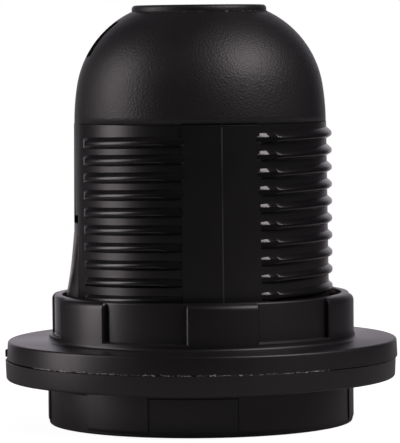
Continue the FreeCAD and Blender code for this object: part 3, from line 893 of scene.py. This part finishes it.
@dataclass
class ShadeRing:
    """One of the two like shade rings: flange, collar, six grip lugs and inside thread.

    The upper ring stands flange down on the joint; the lower one is the same ring turned over.
    Sizes are in millimetres and degrees.
    """

    shop: Workshop
    name: str
    turn: float
    joint: float
    up: bool
    sway: float = 0.0
    height: float = 9.45
    flange: float = 28.8
    thickness: float = 2.7
    joint_edge: float = 0.07
    draft: float = 0.1
    flange_edge: float = 0.4
    collar: float = 21.7
    lug: float = 22.55
    lug_angle: float = 26.7
    bore: float = 19.4
    counterbore: float = 20.6
    counterbore_depth: float = 5.85
    top_edge: float = 1.0
    step: float = 1.0
    corner: float = 0.1
    collar_edge: float = 0.3
    root_fillet: float = 0.45
    lug_root: float = 0.4
    lug_chamfer: float = 0.2
    thread_start: float = -160.0
    thread_turn: int = 3
    thread_crest: float = 19.2
    thread_sweep: float = 335.0
    thread_half_crest: float = 0.14
    thread_half_root: float = 0.5
    thread_bite: float = 0.35
    pitch: float = 2.5
    phase: float = 3.67
    flash_start: float = -156.0
    flash_sweep: float = 96.0
    flash_width: float = 0.4
    flash_proud: float = 0.12
    flash_low: float = 0.015
    nub_turn: float = 172.0
    nub_half: float = 0.55
    nub_reach: float = 0.28

    def build(self) -> None:
        """Builds the ring and its lugs, and dresses them."""
        place = self.shop.place
        lug = self.lug_block()
        lugs = [lug, *(copied(lug, 60.0 * k) for k in range(1, 6))]
        ring = gather(self.name + "_moulding", [self.body(), *lugs])
        self.set_down(ring)
        place(ring, self.name, RING_BLACK, self.name, 32.0)
        place(self.inside_thread(), self.name, RING_BLACK, self.name, 40.0)
        if self.up:
            place(self.nub(), self.name, RING_BLACK, self.name, 40.0)
            # The flash's pale patches are partly painted glints.
            place(self.flash(), self.name, TORN_FLASH_PAINTED_GLINTS, self.name)

    def set_down(self, piece: Piece) -> None:
        """Turns a piece over where needed, then turns and lifts it to its place.

        Args:
            piece: The piece, made flange down on the origin.
        """
        place = Matrix.Translation(Vector((self.sway, 0, self.joint)) * MM) @ Matrix.Rotation(
            math.radians(self.turn), 4, "Z")
        if not self.up:
            place = place @ Matrix.Rotation(math.pi, 4, "X")
        piece.data.transform(place)

    def body(self) -> Piece:
        """The turned flange and collar.

        Returns:
            The flange and collar, flange down on the origin.
        """
        rim, edge, corner, round_off = (self.flange - self.draft, self.flange_edge, self.corner,
                                        self.collar_edge)
        seat = self.height - self.counterbore_depth
        step_top = self.thickness + self.step
        points = [
            (self.bore, 0.0), (self.flange - self.joint_edge, 0.0),
            (self.flange, self.joint_edge),
            *rounded((rim - edge, self.thickness - edge), edge, 0.0, 90.0, 5),
            *rounded((self.lug + self.root_fillet, self.thickness + self.root_fillet),
                     self.root_fillet, 270.0, 180.0),
            (self.lug, step_top - 0.12), (self.lug - 0.12, step_top),
            (self.collar + corner, step_top), (self.collar, step_top + corner),
            *rounded((self.collar - round_off, self.height - round_off), round_off, 0.0, 90.0),
            (self.counterbore + corner, self.height), (self.counterbore, self.height - corner),
            (self.counterbore, seat), (self.bore, seat)]
        return turned(self.name + "_body", points, steps=192)

    def lug_block(self) -> Piece:
        """One grip lug, its outside corners eased.

        Returns:
            The lug, on a flange that lies on the origin.
        """
        top, inner, foot = self.top_edge, self.collar - self.lug_root, self.thickness - 0.2
        points = [
            (inner, foot), (self.lug, foot), (self.lug, self.height - top),
            *rounded((self.lug - top, self.height - top), top, 15.0, 90.0, 5),
            (inner, self.height)]
        lug = turned("lug", points, 20, 30.0 - self.lug_angle / 2, self.lug_angle)
        soften(lug, self.lug_chamfer, limit=60.0, segments=1)
        return lug

    def inside_thread(self) -> Piece:
        """The turn of thread in the bore, midway between the barrel's ridges.

        Returns:
            The ridge, in its place.
        """
        base, crest = self.bore + self.thread_bite, self.thread_crest
        root, half = self.thread_half_root, self.thread_half_crest
        points = [(base, -root), (crest, -half), (crest, half), (base, root)]
        thread = turned(self.name + "_thread", points, 160, self.thread_start, self.thread_sweep)
        for vertex in thread.data.vertices:
            angle = math.degrees(math.atan2(vertex.co.y, vertex.co.x)) - self.thread_start
            angle = (angle + 1.0) % 360.0 - 1.0 + self.thread_start
            vertex.co.z += (self.phase + self.pitch * (angle / 360.0 + self.thread_turn)) * MM
        return thread

    def flash(self) -> Piece:
        """The torn lip of flash along the joint's edge, proudest at the front left. Its pale
        patches are partly stress-whitened plastic and partly painted glints.

        Returns:
            The lip, in its place.
        """
        lip, inner = self.flange, self.flange - self.flash_width
        points = [(inner, -0.07), (lip, -0.06), (lip, 0.12), (inner, 0.14)]
        strip = turned(self.name + "_flash", points, 230, self.flash_start, self.flash_sweep)
        tear = random.Random(7)
        for vertex in strip.data.vertices:
            way = Vector((vertex.co.x, vertex.co.y, 0.0)).normalized()
            proud = self.flash_proud if way.x < -0.55 else self.flash_low
            vertex.co += way * (proud - abs(tear.gauss(0.0, 0.09))) * MM
            vertex.co.z += tear.gauss(0.0, 0.05) * MM
        strip.data.transform(Matrix.Translation((0.0, 0.0, self.joint * MM)))
        return strip

    def nub(self) -> Piece:
        """The rest of the mould's gate on the flange's edge, at the back left.

        Returns:
            The nub, in its place.
        """
        half = self.nub_half
        nub = block(self.name + "_nub", (self.flange - 0.8, -half, 0.2),
                    (self.flange + self.nub_reach, half, 1.35), 0.2)
        place = Matrix.Rotation(math.radians(self.nub_turn), 4, "Z")
        nub.data.transform(Matrix.Translation((0.0, 0.0, self.joint * MM)) @ place)
        return nub


@dataclass
class DomeCap:
    """The latched cap: the carried shell with full latch slots and a turned rim.

    All sizes are in millimetres.
    """

    shop: Workshop
    seam: float = 44.1
    slot_low: float = 54.0
    slot_high: float = 58.9
    slot_inner: float = 10.3
    slot_outer: float = 19.5
    slot_half: float = 2.1
    rim_low: float = 60.42
    rim_top: float = 61.3
    rim_radius: float = 9.9
    rim_edge: float = 0.55
    entry_radius: float = 5.3
    entry_edge: float = 0.3

    def build(self) -> None:
        """Builds the cap in place of its node."""
        cap = self.shop.carry("dome_cap", "holder", CAP_BLACK, seam=self.seam + 0.04)
        for side in (-1.0, 1.0):
            near, far = sorted((side * self.slot_inner, side * self.slot_outer))
            combine(cap, block("slot", (near, -self.slot_half, self.slot_low),
                               (far, self.slot_half, self.slot_high)), "DIFFERENCE")
        with editing(cap):
            bpy.ops.mesh.bisect(plane_co=(0, 0, self.rim_low * MM), plane_no=(0, 0, 1),
                                clear_outer=True)
        smooth(cap)
        self.shop.place(self.rim(), "holder", CAP_BLACK, "dome_cap")

    def rim(self) -> Piece:
        """The rounded rim round the cable entry.

        Returns:
            The rim, reaching a little into the shell.
        """
        edge, entry, foot = self.rim_edge, self.entry_edge, self.rim_low - 0.02
        points = [
            (self.rim_radius, foot),
            *rounded((self.rim_radius - edge, self.rim_top - edge), edge, 0.0, 90.0, 6),
            *rounded((self.entry_radius + entry, self.rim_top - entry), entry, 90.0, 180.0),
            (self.entry_radius, foot)]
        return turned("dome_rim", points, steps=128)


@dataclass
class ScrewShell:
    """The lamp's rolled screw shell with its neck and inner flange.

    All sizes are in millimetres.
    """

    shop: Workshop
    radius: float = 13.25
    wall: float = 0.4
    bottom: float = 3.0
    thread_top: float = 19.0
    pitch: float = 3.629
    depth: float = 1.05
    fade: float = 0.8
    neck: float = 12.6
    neck_rise: float = 0.65
    ledge: float = 24.0
    flange: float = 9.2
    rows: int = 54

    def build(self) -> None:
        """Builds the shell in place of its node."""
        outer, neck_outer = self.radius + self.wall, self.neck + self.wall
        neck_foot = self.thread_top + self.neck_rise
        steps = [self.bottom + (self.thread_top - self.bottom) * i / self.rows
                 for i in range(self.rows + 1)]
        points = [(self.radius, z) for z in steps]
        points += [(self.neck, neck_foot), (self.neck, self.ledge - self.wall),
                   (self.flange, self.ledge - self.wall), (self.flange, self.ledge),
                   (neck_outer, self.ledge), (neck_outer, neck_foot + self.wall)]
        points += [(outer, z) for z in reversed(steps)]
        shell = turned("screw_shell_rolled", points, steps=96)
        for vertex in shell.data.vertices:
            self.roll(vertex)
        self.shop.place(shell, "holder", NICKEL, "screw_shell", 50.0)

    def roll(self, vertex: bpy.types.MeshVertex) -> None:
        """Presses one corner of the wall in to follow the rolled thread.

        Args:
            vertex: The corner.
        """
        height = vertex.co.z / MM
        if height > self.thread_top + 0.01:
            return
        turn = math.atan2(vertex.co.y, vertex.co.x) / (2 * math.pi)
        wave = 0.5 - 0.5 * math.cos(2 * math.pi * (height / self.pitch - turn))
        ends = min(1.0, (height - self.bottom) / self.fade, (self.thread_top - height) / self.fade)
        radius = math.hypot(vertex.co.x, vertex.co.y)
        scale = 1.0 - self.depth * MM * wave * max(0.0, ends) / radius
        vertex.co.x *= scale
        vertex.co.y *= scale


@dataclass
class EntryNut:
    """The entry nut, with the turns of its thread in the bore.

    All sizes are in millimetres.
    """

    shop: Workshop
    low: float = 51.6
    bore: float = 4.52
    crest: float = 4.2
    half_root: float = 0.42
    half_crest: float = 0.08
    pitch: float = 1.0
    turns: int = 5

    def build(self) -> None:
        """Builds the thread and carries the nut over."""
        self.shop.carry("entry_nut", "holder", BRASS)
        points = [(self.bore, -self.half_root), (self.crest, -self.half_crest),
                  (self.crest, self.half_crest), (self.bore, self.half_root)]
        thread = turned("entry_nut_thread", points, 64, 0.0, 358.9)
        for vertex in thread.data.vertices:
            turn = math.atan2(vertex.co.y, vertex.co.x) % (2 * math.pi) / (2 * math.pi)
            vertex.co.z += (self.low + self.pitch / 2 + self.pitch * turn) * MM
        apply(thread, "ARRAY", count=self.turns, use_relative_offset=False,
              use_constant_offset=True, constant_offset_displace=(0, 0, self.pitch * MM))
        self.shop.place(thread, "holder", BRASS, "entry_nut", 40.0)


@dataclass
class Softbox:
    """A rectangular lamp panel that faces the object.

    Attributes:
        name: What the lamp is.
        azimuth: Degrees round the object from the camera's side, to the right.
        elevation: Degrees above the object's middle.
        distance: From the object's middle, in metres.
        width: Across, in metres.
        height: Up and down, in metres.
        radiance: How bright its face is, where 1 is white.
    """

    name: str
    azimuth: float
    elevation: float
    distance: float
    width: float
    height: float
    radiance: float

    def hang(self, middle: Vector) -> None:
        """Makes the lamp and turns it to the object's middle.

        Args:
            middle: The object's middle, in metres.
        """
        data = bpy.data.lights.new(self.name, "AREA")
        data.shape = "RECTANGLE"
        data.size, data.size_y = self.width, self.height
        data.color = LAMP_TINT
        data.energy = self.radiance * math.pi * self.width * self.height
        lamp = bpy.data.objects.new(self.name, data)
        bpy.context.scene.collection.objects.link(lamp)
        turn, rise = math.radians(self.azimuth), math.radians(self.elevation)
        way = Vector((math.sin(turn) * math.cos(rise), -math.cos(turn) * math.cos(rise),
                      math.sin(rise)))
        lamp.location = middle + way * self.distance
        lamp.rotation_euler = way.to_track_quat("Z", "Y").to_euler()


@dataclass
class Studio:
    """Camera, floor, backdrop and lamps.

    Attributes:
        azimuth: Camera's turn about the object in degrees.
        distance: Camera from the barrel axis.
        eye_height: Camera above the floor.
        dip: Camera's tilt below the horizon in degrees.
        roll: Camera's roll in degrees.
        lens: Focal length for a 36 mm sensor.
        shift: Sideways shift of the frame as a share of its longer side.
        floor_reach: Radius of the floor in metres.
        floor_tone: How pale the floor is.
        floor_glow: What the floor adds for the camera, so that it shows white.
        wall_tint: Colour of what the object reflects of the room.
        wall_reach: Where the bright wall behind the object starts and is full, as the cosine
            from straight behind.
        wall_tones: How bright the room is away from the wall and at its middle.
    """

    azimuth: float = -9.3
    distance: float = 0.485
    eye_height: float = 0.05659
    dip: float = 3.204
    roll: float = -0.55
    lens: float = 267.7
    shift: float = -0.0023
    floor_reach: float = 0.16
    floor_tone: float = 0.5
    floor_glow: float = 0.9
    wall_tint: tuple[float, float, float] = (0.97, 0.90, 1.0)
    wall_reach: tuple[float, float] = (0.80, 0.975)
    wall_tones: tuple[float, float] = (0.03, 0.92)

    def camera(self) -> None:
        """Puts the camera at the viewing angle."""
        data = bpy.data.cameras.new("view")
        data.sensor_width, data.lens, data.shift_x = 36.0, self.lens, self.shift
        data.clip_start, data.clip_end = 0.01, 10.0
        camera = bpy.data.objects.new("view", data)
        bpy.context.scene.collection.objects.link(camera)
        turn = math.radians(self.azimuth)
        camera.location = (math.sin(turn) * self.distance, -math.cos(turn) * self.distance,
                           self.eye_height)
        tilt = Matrix.Rotation(math.radians(90 - self.dip), 3, "X")
        roll = Matrix.Rotation(math.radians(self.roll), 3, "Z")
        camera.rotation_euler = (Matrix.Rotation(turn, 3, "Z") @ tilt @ roll).to_euler()
        bpy.context.scene.camera = camera

    def floor(self) -> None:
        """A pale round floor that shows white to the camera and keeps the object's shadow."""
        only_none()
        bpy.ops.mesh.primitive_circle_add(vertices=128, radius=self.floor_reach, fill_type="NGON")
        floor = bpy.context.object
        floor.name = "floor"
        made = bpy.data.materials.new("pale_floor")
        made.use_nodes = True
        tree = made.node_tree
        tree.nodes.clear()
        out = node_at(tree, "ShaderNodeOutputMaterial")
        chalk = node_at(tree, "ShaderNodeBsdfDiffuse")
        chalk.inputs["Color"].default_value = (*[self.floor_tone] * 3, 1.0)
        glow = node_at(tree, "ShaderNodeEmission")
        path = node_at(tree, "ShaderNodeLightPath")
        lit = node_at(tree, "ShaderNodeMath", operation="MULTIPLY")
        lit.inputs[1].default_value = self.floor_glow
        tree.links.new(path.outputs["Is Camera Ray"], lit.inputs[0])
        tree.links.new(lit.outputs[0], glow.inputs["Strength"])
        both = node_at(tree, "ShaderNodeAddShader")
        tree.links.new(chalk.outputs[0], both.inputs[0])
        tree.links.new(glow.outputs[0], both.inputs[1])
        tree.links.new(both.outputs[0], out.inputs["Surface"])
        floor.data.materials.append(made)
        floor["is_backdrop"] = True

    def world(self) -> None:
        """White behind the object for the camera and for glancing reflections, dim in front."""
        world = bpy.data.worlds.new("studio")
        bpy.context.scene.world = world
        world.use_nodes = True
        tree = world.node_tree
        tree.nodes.clear()
        out = node_at(tree, "ShaderNodeOutputWorld")
        dim = node_at(tree, "ShaderNodeBackground")
        dim.inputs["Color"].default_value = (*self.wall_tint, 1.0)
        bright = node_at(tree, "ShaderNodeBackground")
        bright.inputs["Color"].default_value = (1.0, 1.0, 1.0, 1.0)
        bright.inputs["Strength"].default_value = 1.0
        path = node_at(tree, "ShaderNodeLightPath")
        place = node_at(tree, "ShaderNodeTexCoord")
        turn = math.radians(self.azimuth)
        facing = node_at(tree, "ShaderNodeVectorMath", operation="DOT_PRODUCT")
        facing.inputs[1].default_value = (-math.sin(turn), math.cos(turn), 0.05)
        tree.links.new(place.outputs["Generated"], facing.inputs[0])
        wall = node_at(tree, "ShaderNodeMapRange", interpolation_type="SMOOTHSTEP")
        wall.inputs["From Min"].default_value, wall.inputs["From Max"].default_value = (
            self.wall_reach)
        wall.inputs["To Min"].default_value, wall.inputs["To Max"].default_value = (
            self.wall_tones)
        tree.links.new(facing.outputs["Value"], wall.inputs["Value"])
        tree.links.new(wall.outputs["Result"], dim.inputs["Strength"])
        pick = node_at(tree, "ShaderNodeMixShader")
        tree.links.new(path.outputs["Is Camera Ray"], pick.inputs["Fac"])
        tree.links.new(dim.outputs[0], pick.inputs[1])
        tree.links.new(bright.outputs[0], pick.inputs[2])
        tree.links.new(pick.outputs[0], out.inputs["Surface"])

    def build(self, middle: Vector) -> None:
        """Sets the whole studio up.

        Args:
            middle: The object's middle, in metres.
        """
        self.camera()
        self.floor()
        self.world()
        lamps = [
            Softbox("left_panel", self.azimuth - 85.0, 17.0, 0.60, 0.27, 0.50, 4.4),
            Softbox("right_panel", self.azimuth + 58.0, 44.0, 0.60, 0.34, 0.28, 8.0),
        ]
        for lamp in lamps:
            lamp.hang(middle)
        bpy.context.scene.view_settings.view_transform = "Standard"


@dataclass
class LampHolder:
    """The whole holder.

    Attributes:
        shop: Where pieces are carried over and dressed.
    """

    shop: Workshop

    def build(self) -> None:
        """Builds every piece."""
        carry = self.shop.carry
        DomeCap(self.shop).build()
        Barrel(self.shop).build()
        BarrelThread(self.shop).build()
        ShadeRing(self.shop, "upper_ring", -1.5, 9.55, True).build()
        ShadeRing(self.shop, "lower_ring", 17.75, 9.45, False, -0.25, thickness=2.9, bore=19.6,
                  collar=22.38, lug_chamfer=0.1, thread_start=-20.0, thread_turn=1).build()
        EntryNut(self.shop).build()
        carry("entry_lock_screw", "entry_lock_screw", STEEL)
        carry("terminal_block", "holder", PORCELAIN)
        ScrewShell(self.shop).build()
        strip = carry("centre_contact", "holder", NICKEL)
        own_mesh(strip)
        carry("contact_button", "contact_tip", NICKEL)
        for name in ("centre_rivet", "shell_rivet_1", "shell_rivet_2", "shell_rivet_3"):
            carry(name, "holder", BRASS)
        for side in ("live", "neutral"):
            carry(f"{side}_terminal", "holder", BRASS)
            carry(f"{side}_screw", f"{side}_screw", STEEL)


def main() -> None:
    logging.basicConfig(level=logging.INFO, format="%(message)s")
    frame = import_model()
    cad_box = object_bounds()
    LampHolder(Workshop(frame["nodes"])).build()
    Studio().build(sum(cad_box, Vector()) / 2)


if __name__ == "__main__":
    main()
